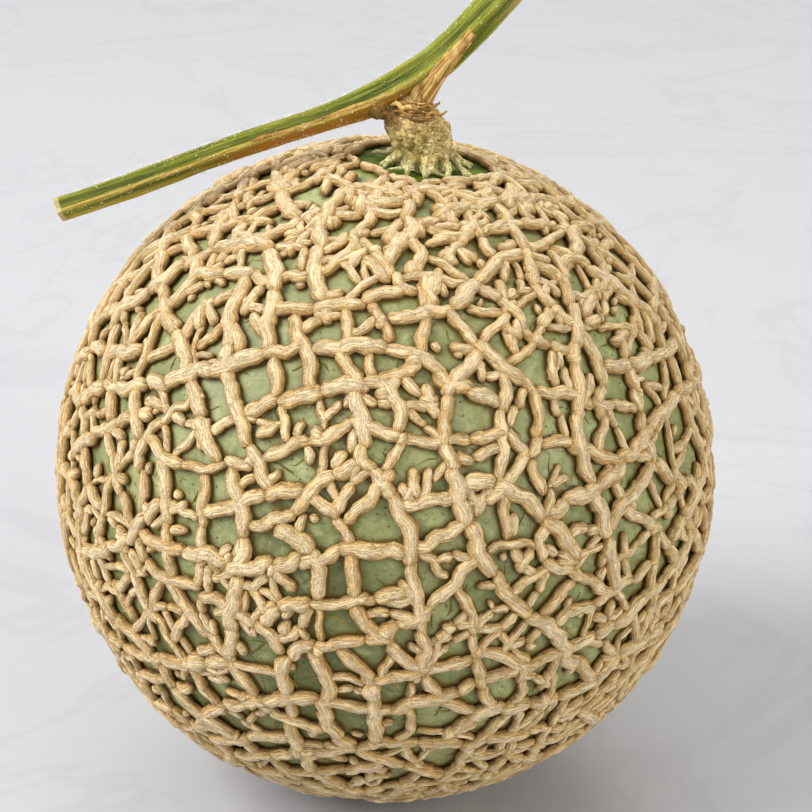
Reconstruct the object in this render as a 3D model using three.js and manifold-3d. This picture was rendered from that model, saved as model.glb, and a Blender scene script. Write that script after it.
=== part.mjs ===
// A whole netted melon, as picked: a nearly round fruit whose pale green skin carries a raised corky net, and the
// T-shaped piece of ridged vine left on its stalk. Millimetres, +Z up, origin on the flat spot that it rests on.
import * as THREE from "three";
import { ConvexHull } from "three/addons/math/ConvexHull.js";
import { mergeVertices } from "three/addons/utils/BufferGeometryUtils.js";
import Module from "manifold-3d";

const wasm = await Module();
wasm.setup();

// Driving dimensions of the fruit
const EQUATOR_RADIUS = 72.4; // the skin, without its net
const HALF_HEIGHT = 73.6;
const SWELL = 0.5; // how far the skin wanders from a true ellipsoid
const FOOT_DROP = 2.0; // the skin's lowest point above the ground, which is the net's height there
const STEM_LEAN = THREE.MathUtils.degToRad(6.2); // the stalk's end leans this far to +X

// Driving dimensions of the net
const NET_HEIGHT = 2.4;
const CORD_HALF_WIDTH = 2.15;
const CELL_SPACING = 7.6; // the least distance between the middles of two cells
const POLE_CROWDING = 0.22; // the cells are this much closer together round the stalk and underneath
const SHORTEST_CORD = 4.3;
const LOOSE_END_SHARE = 0.22; // of the thinner and longer cords, those that stop short inside a cell
const NET_SEED = 20;

// Driving dimensions of the basin round the stalk and of the flat spot underneath
const BASIN_RADIUS = 14.6;
const BASIN_CORDS = 13;
const BASIN_FLOOR = 72.0; // along the stalk's axis, from the fruit's centre
const REST_RADIUS = 9.6;
const REST_CORDS = 10;

// Driving dimensions of the stalk and vine, whose own height starts at the basin's floor
const STALK_GAP = 0.3;
const STALK_HEIGHT = 13.2;
const STALK_RADIUS = 7.1;
const VINE_RADIUS = 3.7;
const VINE_RIDGES = 5;
const VINE_RIDGE_DEPTH = 0.16; // share of the vine's radius
const ROOT_COUNT = 10;
const ROOT_REACH = 11.6;
const STRIP_RADIUS = 2.2;

const CENTRE = new THREE.Vector3(0, 0, HALF_HEIGHT + FOOT_DROP);
const STEM_AXIS = new THREE.Vector3(Math.sin(STEM_LEAN), 0, Math.cos(STEM_LEAN));
const DOWN = new THREE.Vector3(0, 0, -1);

function seededRandom(seed) {
  let state = seed >>> 0;
  return () => {
    state = (state + 0x6d2b79f5) >>> 0;
    let t = Math.imul(state ^ (state >>> 15), state | 1);
    t = (t + Math.imul(t ^ (t >>> 7), t | 61)) ^ t;
    return ((t ^ (t >>> 14)) >>> 0) / 2 ** 32;
  };
}

// The skin: an ellipsoid with a gentle swell, as a distance from the fruit's centre
function skinRadius(direction) {
  const across = Math.hypot(direction.x, direction.y) / EQUATOR_RADIUS;
  const ellipsoid = 1 / Math.hypot(across, direction.z / HALF_HEIGHT);
  const turn = Math.atan2(direction.y, direction.x);
  const waist = 1 - direction.z ** 2;
  return ellipsoid + SWELL * waist * (Math.sin(2 * turn + 0.6) * 0.5 + Math.sin(3 * turn - 1.1) * direction.z);
}

function onSkin(direction, lift) {
  return direction.clone().multiplyScalar(skinRadius(direction) + lift).add(CENTRE);
}

function arcLength(a, b) {
  return a.angleTo(b) * EQUATOR_RADIUS;
}

// A ring of directions round an axis, at an arc length from it
function ringRound(axis, arc, count, turn) {
  const side = new THREE.Vector3(0, 1, 0);
  const tilted = axis.clone().applyAxisAngle(side, arc / EQUATOR_RADIUS);
  return Array.from({ length: count }, (_, i) =>
    tilted.clone().applyAxisAngle(axis, turn + (i / count) * 2 * Math.PI),
  );
}

// The middles of the net's cells. The basin's rim and the flat spot each lie midway between two rings of middles.
function cellMiddles(random) {
  const rimGap = 4.4;
  const ringMargin = 0.6; // of a cell's own spacing, between the rings and the first cell outside them
  const [leastSpread, spreadRange] = [0.8, 0.5];
  const [outerRingTurn, restRingTurn] = [0.09, 0.2];
  const insideBasin = [STEM_AXIS, ...ringRound(STEM_AXIS, BASIN_RADIUS - rimGap, BASIN_CORDS, 0)];
  const fixed = [
    ...insideBasin,
    ...ringRound(STEM_AXIS, BASIN_RADIUS + rimGap, BASIN_CORDS, outerRingTurn),
    DOWN,
    ...ringRound(DOWN, 2 * REST_RADIUS, REST_CORDS, restRingTurn),
  ];
  const middles = [...fixed];
  const darts = 30000;
  for (let i = 0; i < darts; i++) {
    const height = 2 * random() - 1;
    const turn = 2 * Math.PI * random();
    const spread = leastSpread + spreadRange * random();
    const across = Math.sqrt(1 - height * height);
    const dart = new THREE.Vector3(across * Math.cos(turn), across * Math.sin(turn), height);
    const crowding = 1 - POLE_CROWDING * dart.z ** 4;
    const spacing = CELL_SPACING * spread * crowding;
    const nearStem = arcLength(dart, STEM_AXIS) < BASIN_RADIUS + rimGap + spacing * ringMargin;
    const nearRest = arcLength(dart, DOWN) < 2 * REST_RADIUS + spacing * ringMargin;
    if (!nearStem && !nearRest && middles.every((m) => arcLength(m, dart) >= spacing)) middles.push(dart);
  }
  return { middles, basin: new Set(insideBasin), rest: DOWN };
}

// The net as junctions and the cords between them: the borders of the cells, which a convex hull of the middles gives
function cellBorders({ middles, basin, rest }) {
  const hull = new ConvexHull().setFromPoints(middles);
  const number = new Map(hull.faces.map((face, i) => [face, i]));
  const junctions = hull.faces.map((face) => ({ at: face.normal.clone().normalize(), kept: false }));
  const cords = [];
  for (const [face, a] of number) {
    let edge = face.edge;
    do {
      const b = number.get(edge.twin.face);
      const cells = [edge.head().point, edge.tail().point];
      const insideBasin = cells.every((cell) => basin.has(cell));
      if (a < b && !insideBasin) {
        const cord = { a, b, kept: cells.includes(rest) || cells.some((cell) => basin.has(cell)) };
        cord.underfoot = cells.includes(rest);
        cords.push(cord);
      }
      edge = edge.next;
    } while (edge !== face.edge);
  }
  for (const cord of cords) {
    for (const end of [cord.a, cord.b]) {
      junctions[end].kept ||= cord.kept;
      junctions[end].underfoot ||= cord.underfoot;
    }
  }
  return { junctions, cords };
}

// Each cord end at a junction, as the cord, the junction at its far end and its direction there, in turning order
function spokesOf({ junctions, cords }) {
  const spokes = junctions.map(() => []);
  for (const cord of cords) {
    spokes[cord.a].push({ cord, to: cord.b });
    spokes[cord.b].push({ cord, to: cord.a });
  }
  junctions.forEach(({ at }, i) => {
    const east = new THREE.Vector3(0.3, 0.5, 0.8).cross(at).normalize();
    const north = at.clone().cross(east);
    for (const spoke of spokes[i]) {
      const way = junctions[spoke.to].at.clone().sub(at);
      spoke.turn = Math.atan2(way.dot(north), way.dot(east));
      spoke.way = way.addScaledVector(at, -way.dot(at)).normalize();
    }
    spokes[i].sort((p, q) => p.turn - q.turn);
  });
  return spokes;
}

// The two cords that run most nearly straight on through a junction
function straightestPair(spokes) {
  let best = { bend: Infinity };
  spokes.forEach((p, i) =>
    spokes.slice(i + 1).forEach((q) => {
      const bend = p.way.dot(q.way);
      if (bend < best.bend) best = { bend, p, q };
    }),
  );
  return best;
}

// Cords run on through their junctions, so each junction is pulled towards its straightest pair
function straighten(net, rounds) {
  const pull = 0.3;
  for (let round = 0; round < rounds; round++) {
    const spokes = spokesOf(net);
    const moved = net.junctions.map(({ at, kept }, i) => {
      if (kept || spokes[i].length < 3) return at;
      const { p, q } = straightestPair(spokes[i]);
      const between = net.junctions[p.to].at.clone().add(net.junctions[q.to].at).normalize();
      return at.clone().lerp(between, pull).normalize();
    });
    net.junctions.forEach((junction, i) => (junction.at = moved[i]));
  }
}

// Two junctions closer than the shortest cord become one crossing
function mergeClose(net) {
  for (;;) {
    let least = { length: SHORTEST_CORD };
    for (const cord of net.cords) {
      const length = arcLength(net.junctions[cord.a].at, net.junctions[cord.b].at);
      if (length < least.length) least = { length, cord };
    }
    if (!least.cord) return;
    const { a, b } = least.cord;
    const [stays, goes] = net.junctions[b].kept ? [b, a] : [a, b];
    if (!net.junctions[stays].kept) {
      net.junctions[stays].at = net.junctions[a].at.clone().add(net.junctions[b].at).normalize();
    }
    const seen = new Set();
    net.cords = net.cords.filter((cord) => {
      if (cord.a === goes) cord.a = stays;
      if (cord.b === goes) cord.b = stays;
      const name = [Math.min(cord.a, cord.b), Math.max(cord.a, cord.b)].join();
      const isNew = cord.a !== cord.b && !seen.has(name);
      seen.add(name);
      return isNew;
    });
  }
}

// A long cord that runs straight on through many junctions is thicker than a short one between two others
function thicken(net, random) {
  const spokes = spokesOf(net);
  const straightEnough = -0.6; // the cosine between the two directions away from the junction
  const straightOn = new Map();
  spokes.forEach((around, i) => {
    let free = [...around];
    while (free.length > 1) {
      const { p, q, bend } = straightestPair(free);
      if (bend > straightEnough) break;
      straightOn.set(p.cord, [...(straightOn.get(p.cord) ?? []), q.cord]);
      straightOn.set(q.cord, [...(straightOn.get(q.cord) ?? []), p.cord]);
      free = free.filter((spoke) => spoke !== p && spoke !== q);
    }
  });
  const measured = new Set();
  for (const first of net.cords) {
    if (measured.has(first)) continue;
    const run = [];
    const waiting = [first];
    while (waiting.length) {
      const cord = waiting.pop();
      if (measured.has(cord)) continue;
      measured.add(cord);
      run.push(cord);
      waiting.push(...(straightOn.get(cord) ?? []));
    }
    const runLength = run.reduce((sum, { a, b }) => sum + arcLength(net.junctions[a].at, net.junctions[b].at), 0);
    const longRun = 45;
    const share = 0.6 + 0.4 * Math.min(1, runLength / longRun) + 0.16 * (random() - 0.5);
    for (const cord of run) cord.thickness = cord.kept ? 0.95 : share;
  }
}

// Some of the thinner cords stop short inside a cell, clear of the cord that they would have met
function loosenEnds(net, random) {
  const thin = 0.88;
  const looseThickness = 0.6;
  const clearance = 5.2;
  const shortest = 2.6;
  const spokeCount = net.junctions.map(() => 0);
  for (const { a, b } of net.cords) {
    spokeCount[a]++;
    spokeCount[b]++;
  }
  for (const cord of net.cords) {
    const [pick, side] = [random(), random()];
    const [from, to] = side < 0.5 ? [cord.a, cord.b] : [cord.b, cord.a];
    const length = arcLength(net.junctions[from].at, net.junctions[to].at);
    const kept = length - clearance;
    const spare = spokeCount[from] > 2 && spokeCount[to] > 2;
    if (cord.kept || cord.thickness > thin || kept < shortest || !spare || pick > LOOSE_END_SHARE) continue;
    const end = net.junctions[from].at.clone().lerp(net.junctions[to].at, kept / length).normalize();
    net.junctions.push({ at: end, kept: false, looseEnd: true });
    spokeCount[to]--;
    Object.assign(cord, { a: from, b: net.junctions.length - 1, thickness: looseThickness });
  }
}

function growNet() {
  const random = seededRandom(NET_SEED);
  const net = cellBorders(cellMiddles(random));
  mergeClose(net);
  straighten(net, 3);
  mergeClose(net);
  thicken(net, random);
  loosenEnds(net, random);
  return net;
}

// The cells as rings of corners. A corner holds its junction and the cords on both sides of it.
function cellsOf(net) {
  const spokes = spokesOf(net);
  const walked = new Set();
  const cells = [];
  spokes.forEach((around) =>
    around.forEach((first) => {
      if (walked.has(first)) return;
      const corners = [];
      let spoke = first;
      do {
        walked.add(spoke);
        const reached = spokes[spoke.to];
        const back = reached.findIndex((s) => s.cord === spoke.cord);
        const next = reached[(back - 1 + reached.length) % reached.length];
        corners.push({ junction: spoke.to, arriving: reached[back], leaving: next });
        spoke = next;
      } while (spoke !== first);
      cells.push(corners);
    }),
  );
  return cells;
}

// Where the foot of the net's slope lies at a cell's corner, as an offset in the plane that touches the skin there
function footOffset(corner, up) {
  const { arriving, leaving } = corner;
  let inside = (arriving.turn - leaving.turn + 4 * Math.PI) % (2 * Math.PI);
  if (arriving === leaving) inside = 2 * Math.PI;
  const halfWidth = (CORD_HALF_WIDTH * (arriving.cord.thickness + leaving.cord.thickness)) / 2;
  const reach = arriving === leaving ? halfWidth : halfWidth / Math.max(0.5, Math.sin(inside / 2));
  return leaving.way.clone().applyAxisAngle(up, inside / 2).multiplyScalar(reach);
}

// Feet that would pass each other along a short cord, or reach over a small cell's middle, are drawn back
function drawBackFeet(net, corners) {
  const [shareToMiddle, shareOfCord] = [0.6, 0.8];
  const middle = new THREE.Vector3();
  for (const { junction } of corners) middle.add(net.junctions[junction].at);
  middle.normalize();
  const offsets = corners.map((corner) => {
    const { at } = net.junctions[corner.junction];
    const offset = footOffset(corner, at);
    const most = shareToMiddle * arcLength(at, middle);
    const isLoose = corner.arriving === corner.leaving;
    return isLoose ? offset : offset.clampLength(0, most);
  });
  corners.forEach((corner, i) => {
    const next = (i + 1) % corners.length;
    const length = arcLength(net.junctions[corner.junction].at, net.junctions[corners[next].junction].at);
    const used = offsets[i].dot(corner.leaving.way) + offsets[next].dot(corners[next].arriving.way);
    const room = shareOfCord * length;
    if (used > room) {
      offsets[i].multiplyScalar(room / used);
      offsets[next].multiplyScalar(room / used);
    }
  });
  return offsets;
}

// The point on a plane across an axis that lies in a direction from the fruit's centre
function onPlane(direction, axis, distance) {
  return direction.clone().multiplyScalar(distance / direction.dot(axis)).add(CENTRE);
}

// The whole fruit as one closed surface: ridges along the cords, slopes down to the skin, and a floor in each cell
function fruitGeometry() {
  const net = growNet();
  const cells = cellsOf(net);
  const looseEndLift = 0.8; // of the lift that the cord would have at a junction
  const basinMiddleReach = 3;
  const points = [];
  const triangles = [];
  const add = (point) => points.push(point) - 1;

  const lifts = net.junctions.map(() => 0);
  for (const { a, b, thickness } of net.cords) {
    for (const end of [a, b]) lifts[end] = Math.max(lifts[end], NET_HEIGHT * thickness);
  }
  const ridges = net.junctions.map(({ at, underfoot, looseEnd }, i) => {
    if (underfoot) return add(onPlane(at, DOWN, CENTRE.z));
    return add(onSkin(at, looseEnd ? lifts[i] * looseEndLift : lifts[i]));
  });

  for (const corners of cells) {
    const isRest = corners.every(({ junction }) => net.junctions[junction].underfoot);
    const middle = corners.reduce((sum, { junction }) => sum.add(net.junctions[junction].at), new THREE.Vector3());
    middle.normalize();
    const isBasin = arcLength(middle, STEM_AXIS) < basinMiddleReach;
    let rim = corners.map(({ junction }) => ridges[junction]);
    if (!isRest) {
      const offsets = drawBackFeet(net, corners);
      const feet = corners.map(({ junction }, i) => {
        const at = net.junctions[junction].at.clone().addScaledVector(offsets[i], 1 / EQUATOR_RADIUS).normalize();
        return add(isBasin ? onPlane(at, STEM_AXIS, BASIN_FLOOR) : onSkin(at, 0));
      });
      corners.forEach((_, i) => {
        const next = (i + 1) % corners.length;
        const [ridge, ridgeOn, footOn, foot] = [rim[i], rim[next], feet[next], feet[i]];
        const acrossFirst = points[ridge].distanceTo(points[footOn]) < points[ridgeOn].distanceTo(points[foot]);
        if (acrossFirst) triangles.push([ridge, ridgeOn, footOn], [ridge, footOn, foot]);
        else triangles.push([ridge, ridgeOn, foot], [ridgeOn, footOn, foot]);
      });
      rim = feet;
    }
    const east = new THREE.Vector3(0.3, 0.5, 0.8).cross(middle).normalize();
    const north = middle.clone().cross(east);
    const outline = rim.map((i) => new THREE.Vector2(points[i].dot(east), points[i].dot(north)));
    for (const [a, b, c] of THREE.ShapeUtils.triangulateShape(outline, [])) {
      const corner = [a, b, c].map((i) => outline[i]);
      const facesOut = THREE.ShapeUtils.isClockWise(corner) ? [c, b, a] : [a, b, c];
      triangles.push(facesOut.map((i) => rim[i]));
    }
  }
  const geometry = new THREE.BufferGeometry();
  geometry.setAttribute("position", new THREE.Float32BufferAttribute(points.flatMap((p) => p.toArray()), 3));
  geometry.setIndex(triangles.flat());
  return geometry;
}

// A closed solid swept along a curve: at each step, section(along, turn) is its radius in that direction
function sweep(curve, steps, sides, section) {
  const { normals, binormals } = curve.computeFrenetFrames(steps);
  const points = [];
  const index = [];
  for (let step = 0; step <= steps; step++) {
    const along = step / steps;
    const centre = curve.getPointAt(along);
    for (let side = 0; side < sides; side++) {
      const turn = (side / sides) * 2 * Math.PI;
      const radius = section(along, turn);
      const point = centre.clone().addScaledVector(normals[step], radius * Math.cos(turn));
      points.push(point.addScaledVector(binormals[step], radius * Math.sin(turn)));
      if (step === 0) continue;
      const [here, beside] = [step * sides + side, step * sides + ((side + 1) % sides)];
      index.push(here - sides, beside - sides, beside, here - sides, beside, here);
    }
  }
  const [start, end] = [points.length, points.length + 1];
  points.push(curve.getPointAt(0), curve.getPointAt(1));
  for (let side = 0; side < sides; side++) {
    const beside = (side + 1) % sides;
    index.push(start, beside, side, end, steps * sides + side, steps * sides + beside);
  }
  const geometry = new THREE.BufferGeometry();
  geometry.setAttribute("position", new THREE.Float32BufferAttribute(points.flatMap((p) => p.toArray()), 3));
  geometry.setIndex(index);
  return geometry;
}

function solidOf(geometry) {
  const bare = geometry.clone();
  bare.deleteAttribute("normal");
  bare.deleteAttribute("uv");
  const { attributes, index } = mergeVertices(bare, 1e-4);
  const triVerts = new Uint32Array(index.array);
  return new wasm.Manifold(new wasm.Mesh({ numProp: 3, vertProperties: attributes.position.array, triVerts }));
}

function geometryOf(solid) {
  const { vertProperties, triVerts } = solid.getMesh();
  const geometry = new THREE.BufferGeometry();
  geometry.setAttribute("position", new THREE.BufferAttribute(vertProperties, 3));
  geometry.setIndex(new THREE.BufferAttribute(triVerts, 1));
  return geometry;
}

// The vine, bent where the stalk joins it. The stalk's own frame has its origin on the basin's floor and +Z along the
// stalk, and the route's heights are above that floor.
const VINE_ROUTE = [
  [-77.0, -3.0, -17.4],
  [-60.0, -2.4, -9.5],
  [-39.5, -1.6, 0.7],
  [-19.0, -0.6, 9.9],
  [-7.2, 0.0, 16.4],
  [0.4, 0.4, 22.6],
  [8.4, 1.2, 32.2],
  [19.8, 2.6, 47.4],
  [30.4, 4.0, 61.0],
];

function vineSolid() {
  const route = new THREE.CatmullRomCurve3(VINE_ROUTE.map((p) => new THREE.Vector3(...p)), false, "centripetal");
  const junction = 0.6; // of the route's length
  const section = (along, turn) => {
    const off = along - junction;
    const slimness = off < 0 ? 0.3 * (1 - Math.exp(-((off / 0.12) ** 2))) : 0.12 * (off / (1 - junction));
    return VINE_RADIUS * (1 - slimness) * (1 + VINE_RIDGE_DEPTH * Math.cos(VINE_RIDGES * turn));
  };
  return solidOf(sweep(route, 44, 20, section));
}

// The stalk: a knob that flares into short roots of flesh on the basin's floor
function stalkSolid() {
  const outline = [
    [0, 0],
    [8.2, 0],
    [7.7, 0.9],
    [6.6, 2.2],
    [6.6, 4.0],
    [STALK_RADIUS, 6.2],
    [6.8, 8.6],
    [5.7, 10.8],
    [4.9, STALK_HEIGHT],
    [4.3, STALK_HEIGHT + 3.0],
    [2.4, STALK_HEIGHT + 4.6],
    [0, STALK_HEIGHT + 5.2],
  ];
  const lathe = new THREE.LatheGeometry(outline.map(([r, z]) => new THREE.Vector2(r, z)), 22);
  lathe.rotateX(Math.PI / 2);
  const position = lathe.attributes.position;
  for (let i = 0; i < position.count; i++) {
    const [x, y, z] = [position.getX(i), position.getY(i), position.getZ(i)];
    const turn = Math.atan2(y, x);
    const lump = 1 + 0.05 * Math.sin(5 * turn + 0.4 * z) + 0.03 * Math.sin(9 * turn - 0.9 * z);
    const lean = 0.5 - 0.26 * z;
    position.setXYZ(i, x * lump + lean, y * lump, z);
  }
  return solidOf(lathe);
}

function rootSolid(number) {
  const random = seededRandom(NET_SEED + number);
  const turn = ((number + 0.5 * random()) / ROOT_COUNT) * 2 * Math.PI;
  const reach = ROOT_REACH * (0.86 + 0.14 * random());
  const sway = 0.5 * (random() - 0.5);
  const thick = 0.95 + 0.25 * random();
  const stations = [
    [5.2, 3.6, 0],
    [7.6, 1.9, 0.3],
    [(7.6 + reach) / 2, 1.1, 0.7],
    [reach, 0.75, 1],
  ];
  const points = stations.map(([out, up, share]) => {
    const heading = turn + sway * share;
    return new THREE.Vector3(out * Math.cos(heading), out * Math.sin(heading), up);
  });
  const section = (along) => thick * (1 - 0.42 * along ** 2);
  return solidOf(sweep(new THREE.CatmullRomCurve3(points), 7, 7, section));
}

// A withered leaf stalk that lies along the upper arm and peels off at its tip
function dryStripSolid() {
  const points = [
    [-0.6, -2.2, 12.4],
    [-0.8, -2.6, 15.3],
    [0.6, -3.1, 19.2],
    [3.1, -3.6, 24.2],
    [7.2, -4.0, 30.8],
  ];
  const curve = new THREE.CatmullRomCurve3(points.map((p) => new THREE.Vector3(...p)));
  const section = (along, turn) => STRIP_RADIUS * (1 - 0.62 * along) * (1 + 0.22 * Math.cos(2 * turn));
  return solidOf(sweep(curve, 12, 8, section));
}

function stemGeometry() {
  let solid = vineSolid().add(stalkSolid()).add(dryStripSolid());
  for (let number = 0; number < ROOT_COUNT; number++) solid = solid.add(rootSolid(number));
  const belowBase = new THREE.BoxGeometry(60, 60, 20).translate(0, 0, -10);
  return geometryOf(solid.subtract(solidOf(belowBase)));
}

const corkOverGreen = new THREE.MeshStandardMaterial({ color: 0xc9b083, roughness: 0.8, metalness: 0 });
const vineGreen = new THREE.MeshStandardMaterial({ color: 0x8fa04a, roughness: 0.6, metalness: 0 });

const fruit = new THREE.Mesh(fruitGeometry(), corkOverGreen);
fruit.name = "fruit";

const stem = new THREE.Mesh(stemGeometry(), vineGreen);
stem.name = "stem";
stem.position.copy(STEM_AXIS).multiplyScalar(BASIN_FLOOR + STALK_GAP).add(CENTRE);
stem.quaternion.setFromUnitVectors(new THREE.Vector3(0, 0, 1), STEM_AXIS);

const melon = new THREE.Group();
melon.add(fruit, stem);

export default melon;
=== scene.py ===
# A whole netted melon with a piece of its vine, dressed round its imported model. Shapes are worked out in
# millimetres in the frame's own axes, and turned to metres when a mesh is made.
import math

import bpy
import numpy as np
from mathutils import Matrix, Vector, kdtree, noise


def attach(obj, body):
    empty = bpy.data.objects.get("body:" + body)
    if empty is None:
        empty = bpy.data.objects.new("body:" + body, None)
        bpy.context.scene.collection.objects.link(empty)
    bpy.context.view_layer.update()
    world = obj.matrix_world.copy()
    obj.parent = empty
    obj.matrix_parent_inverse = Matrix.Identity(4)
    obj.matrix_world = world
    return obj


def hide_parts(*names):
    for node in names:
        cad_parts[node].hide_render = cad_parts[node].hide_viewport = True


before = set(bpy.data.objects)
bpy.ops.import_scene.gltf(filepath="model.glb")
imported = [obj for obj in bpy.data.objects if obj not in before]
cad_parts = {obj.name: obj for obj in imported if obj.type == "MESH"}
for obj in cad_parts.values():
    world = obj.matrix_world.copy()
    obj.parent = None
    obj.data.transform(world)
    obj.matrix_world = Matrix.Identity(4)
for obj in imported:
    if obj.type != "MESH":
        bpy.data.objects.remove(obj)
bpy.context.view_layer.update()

# Camera: a long lens at the photograph's height, which looks down on the fruit's shoulder. It aims above and
# right of the fruit's middle, because the stem takes up the top of the picture.
FRUIT_CENTRE = np.array([0.0, 0.0, 75.6])
LENS = 100
CAMERA_DISTANCE = 516
CAMERA_ELEVATION = math.radians(22.5)
AIM_RIGHT = 4.5
AIM_UP = 14.2
METRE = 1000

camera_back = np.array([0, -math.cos(CAMERA_ELEVATION), math.sin(CAMERA_ELEVATION)])
camera_up = np.array([0, math.sin(CAMERA_ELEVATION), math.cos(CAMERA_ELEVATION)])
camera_place = FRUIT_CENTRE + AIM_UP * camera_up + CAMERA_DISTANCE * camera_back
camera_place[0] += AIM_RIGHT
bpy.ops.object.camera_add(
    location=Vector(camera_place) / METRE,
    rotation=(math.pi / 2 - CAMERA_ELEVATION, 0, 0),
)
camera = bpy.context.object
camera.data.lens = LENS
camera.data.clip_start = 0.01
bpy.context.scene.camera = camera

# Light: a broad soft window from the upper left, a weaker one from the right, and a pale room all round.
ROOM_COLOUR = (1.0, 0.98, 0.97)
ROOM_STRENGTH = 0.64


def add_window(name, place, size, power, colour):
    bpy.ops.object.light_add(type="AREA", location=place)
    lamp = bpy.context.object
    lamp.name = name
    lamp.data.size = size
    lamp.data.energy = power
    lamp.data.color = colour
    towards = Vector(FRUIT_CENTRE) / METRE - lamp.location
    lamp.rotation_euler = towards.to_track_quat("-Z", "Y").to_euler()


add_window("window_left", (-1.5, -0.42, 1.42), 1.3, 59, (1.0, 0.98, 0.98))
add_window("window_back", (0.15, 0.9, 1.0), 0.9, 5.5, (1.0, 0.98, 0.95))
add_window("window_right", (1.43, -1.05, 0.6), 1.2, 21, (1.0, 0.95, 0.86))
room = bpy.data.worlds.new("pale_room")
room.use_nodes = True
room.node_tree.nodes["Background"].inputs["Color"].default_value = (*ROOM_COLOUR, 1)
room.node_tree.nodes["Background"].inputs["Strength"].default_value = ROOM_STRENGTH
bpy.context.scene.world = room
bpy.context.scene.view_settings.view_transform = "Standard"


# Floor: a pale table top under the fruit. A Finish is a material, and a Wire is one of its sockets, on which
# Python's own operators add the Math nodes that they stand for.
FLOOR_WIDTH = 8
FLOOR_COLOUR = (178, 180, 184)
VEIN_COLOUR = (160, 161, 166)


def linear(red, green, blue):
    """A colour from the 0 to 255 of a screen to the light that it stands for, with its alpha."""
    shares = [value / 255 for value in (red, green, blue)]
    return (*[s / 12.92 if s < 0.04045 else ((s + 0.055) / 1.055) ** 2.4 for s in shares], 1)


class Wire:
    def __init__(self, finish, socket):
        self.finish = finish
        self.socket = socket

    def maths(self, operation, *values):
        return self.finish.node("ShaderNodeMath", {"operation": operation}, dict(enumerate(values)))

    def __add__(self, other):
        return self.maths("ADD", self, other)

    def __sub__(self, other):
        return self.maths("SUBTRACT", self, other)

    def __rsub__(self, other):
        return self.maths("SUBTRACT", other, self)

    def __mul__(self, other):
        return self.maths("MULTIPLY", self, other)

    def absolute(self):
        return self.maths("ABSOLUTE", self)

    __radd__ = __add__
    __rmul__ = __mul__


class Finish:
    def __init__(self, name, **uniform):
        self.material = bpy.data.materials.new(name)
        self.material.use_nodes = True
        self.tree = self.material.node_tree
        self.shader = self.tree.nodes["Principled BSDF"]
        for words, value in uniform.items():
            self.shader.inputs[words.replace("_", " ")].default_value = value

    def feed(self, socket, value):
        if isinstance(value, Wire):
            self.tree.links.new(value.socket, socket)
        else:
            socket.default_value = value

    def node(self, kind, settings, sockets, output=0):
        node = self.tree.nodes.new(kind)
        for name, value in settings.items():
            setattr(node, name, value)
        for name, value in sockets.items():
            self.feed(node.inputs[name], value)
        return Wire(self, node.outputs[output])

    def place(self):
        """The point on the object, in metres."""
        return self.node("ShaderNodeTexCoord", {}, {}, "Object")

    def trait(self, name, output="Fac"):
        """A value that the mesh carries at each of its corners."""
        return self.node("ShaderNodeAttribute", {"attribute_name": name}, {}, output)

    def stretched(self, vector, scale):
        return self.node("ShaderNodeVectorMath", {"operation": "MULTIPLY"}, {0: vector, 1: scale})

    def noise(self, vector, scale, detail=3, roughness=0.55, distortion=0):
        sockets = {"Vector": vector, "Scale": scale, "Detail": detail, "Roughness": roughness}
        return self.node("ShaderNodeTexNoise", {}, {**sockets, "Distortion": distortion})

    def streaks(self, vector, scale, *settings):
        """Noise that is drawn out along an axis."""
        return self.noise(self.stretched(vector, scale), 1.0, *settings)

    def part(self, vector, axis):
        """One of a vector's three numbers."""
        return self.node("ShaderNodeSeparateXYZ", {}, {0: vector}, axis)

    def spots(self, vector, scale):
        return self.node("ShaderNodeTexVoronoi", {"feature": "F1"}, {"Vector": vector, "Scale": scale})

    def between(self, value, low, high, low_gives=0, high_gives=1):
        """How far a value has gone from low to high, as a smooth step."""
        sockets = {"Value": value, "From Min": low, "From Max": high}
        sockets |= {"To Min": low_gives, "To Max": high_gives}
        return self.node("ShaderNodeMapRange", {"interpolation_type": "SMOOTHSTEP"}, sockets)

    def mix(self, share, first, second):
        return self.node("ShaderNodeMix", {"data_type": "RGBA"}, {0: share, 6: first, 7: second}, 2)

    def blend(self, value, low, high, first, second):
        """A first colour that turns to a second as a value goes from low to high."""
        return self.mix(self.between(value, low, high), linear(*first), linear(*second))

    def layered(self, base, layers):
        """A colour with others over it: each by its share where its value has gone from low to high."""
        for value, low, high, share, over in layers:
            base = self.mix(self.between(value, low, high) * share, base, linear(*over))
        return base

    def colour(self, value):
        self.feed(self.shader.inputs["Base Color"], value)

    def roughness(self, value):
        self.feed(self.shader.inputs["Roughness"], value)

    def bump(self, height, depth):
        """Relief of this depth in metres where height runs from 0 to 1."""
        sockets = {"Height": height, "Distance": depth, "Strength": 1}
        self.feed(self.shader.inputs["Normal"], self.node("ShaderNodeBump", {}, sockets, "Normal"))


table_top = Finish("pale_table_top", Roughness=0.42, Specular_IOR_Level=0.3)
marbling = table_top.noise(table_top.place(), 5, 5, 0.6, 1.6)
vein = 1 - table_top.between((marbling - 0.5).absolute(), 0.0, 0.03)
table_top.colour(table_top.mix(vein * 0.25, linear(*FLOOR_COLOUR), linear(*VEIN_COLOUR)))

bpy.ops.object.select_all(action="DESELECT")
bpy.ops.mesh.primitive_plane_add(size=FLOOR_WIDTH)
floor = bpy.context.object
floor.name = "floor"
floor.data.materials.append(table_top.material)


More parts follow.
